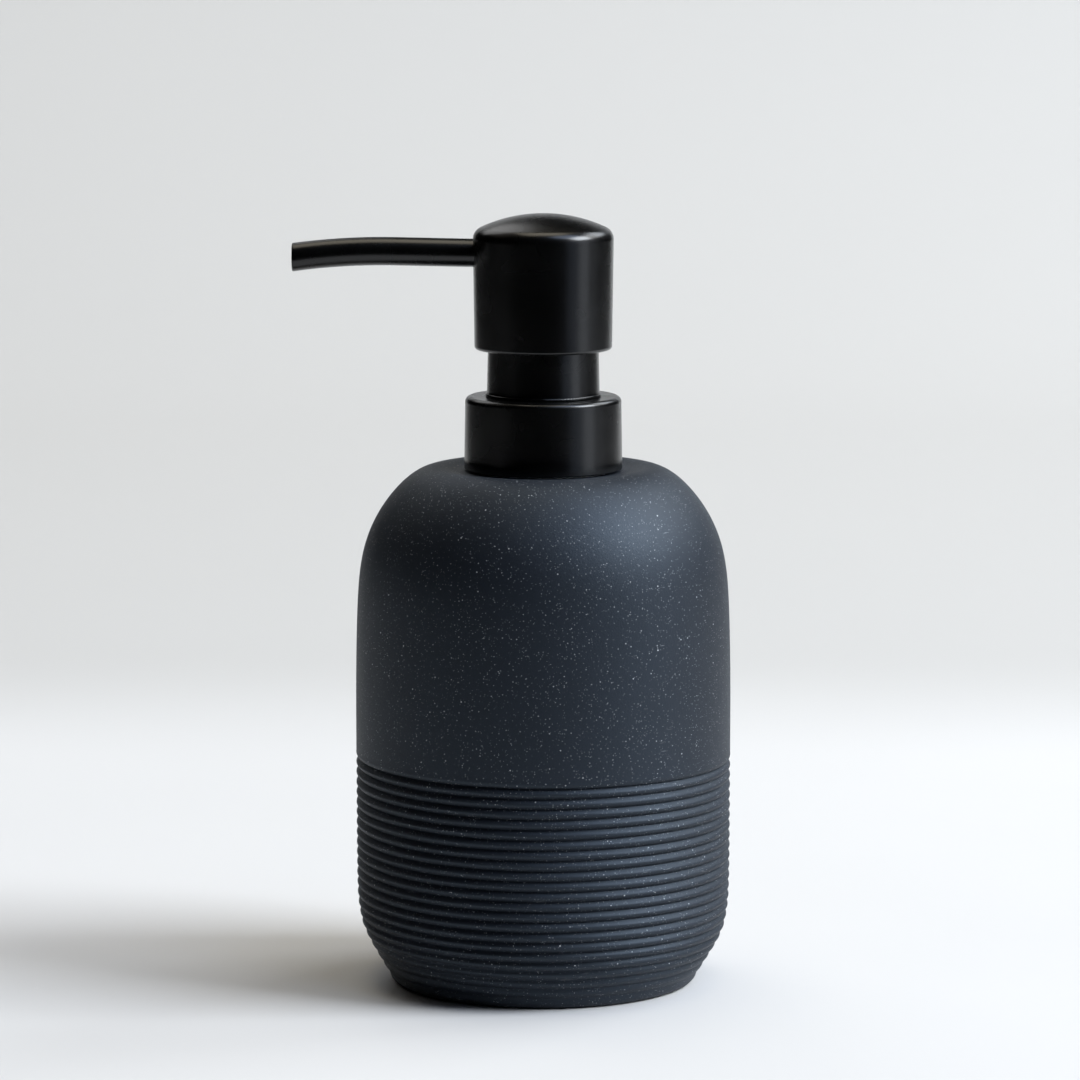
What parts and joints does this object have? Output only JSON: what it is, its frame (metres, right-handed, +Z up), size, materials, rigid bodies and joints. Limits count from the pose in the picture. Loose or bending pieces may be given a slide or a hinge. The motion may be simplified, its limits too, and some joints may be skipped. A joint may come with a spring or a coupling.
{
  "type": "soap pump dispenser",
  "caption": "Round speckled charcoal resin bottle with a finely ribbed lower half and a black screw-on lotion pump with a domed head and a thin side spout.",
  "frame": {"origin": "centre of the underside of the base pad, on the surface the dispenser stands on", "axes": "+Z up along the bottle and pump axis, -X along the spout, +Y completes the right-handed set (away from the viewer when the spout points left)"},
  "size_m": [0.0885, 0.076, 0.1563],
  "materials": {
    "speckled_resin": "matte cast resin, charcoal with fine white specks",
    "satin_black_plastic": "satin black",
    "natural_plastic": "milky moulded polypropylene",
    "tube_plastic": "milky extruded polyethylene",
    "seal_plastic": "waxy polyethylene",
    "closure_plastic": "plain black moulded polypropylene",
    "gasket_foam": "fine closed-cell foam",
    "foam_pad": "black closed-cell foam",
    "spring_steel": "drawn stainless wire",
    "ball_steel": "polished stainless ball"
  },
  "bodies": {
    "bottle": {"bottle_body": "speckled_resin", "neck_insert": "natural_plastic", "base_pad": "foam_pad"},
    "pump_unit": {"pump_housing": "natural_plastic", "neck_gasket": "gasket_foam", "stem_bush": "natural_plastic", "guide_sleeve": "satin_black_plastic", "ball_cage": "natural_plastic", "dip_tube": "tube_plastic", "return_spring": "spring_steel"},
    "collar": {"collar_shell": "satin_black_plastic", "screw_cap": "closure_plastic"},
    "piston": {"piston_seal": "seal_plastic"},
    "head": {"head_shell": "satin_black_plastic", "head_core": "closure_plastic", "spout_tube": "satin_black_plastic", "stem": "natural_plastic", "stem_foot": "natural_plastic"},
    "inlet_valve": {"inlet_ball": "ball_steel"},
    "outlet_valve": {"outlet_ball": "ball_steel"}
  },
  "joints": [
    {"name": "collar_lift", "type": "slide", "parent": "bottle", "child": "pump_unit", "axis": [0, 0, 1], "range_m": [0, 0.00529]},
    {"name": "collar_turn", "type": "hinge", "parent": "pump_unit", "child": "collar", "pos_m": [0, 0, 0.112], "axis": [0, 0, 1], "range_deg": [0, 450]},
    {"name": "head_press", "type": "slide", "parent": "pump_unit", "child": "piston", "axis": [0, 0, -1], "range_m": [0, 0.0075], "stiffness_N_per_m": 1000, "springref_m": -0.005, "deforming": ["return_spring"]},
    {"name": "head_swivel", "type": "hinge", "parent": "piston", "child": "head", "pos_m": [0, 0, 0.1484], "axis": [0, 0, 1], "continuous": true},
    {"name": "inlet_ball_lift", "type": "slide", "parent": "pump_unit", "child": "inlet_valve", "axis": [0, 0, 1], "range_m": [0, 0.0012]},
    {"name": "outlet_ball_lift", "type": "slide", "parent": "head", "child": "outlet_valve", "axis": [0, 0, 1], "range_m": [0, 0.0011]}
  ],
  "couplings": [
    {"joint": "collar_turn", "follows": "collar_lift", "rad_per_m": 1484.2}
  ]
}
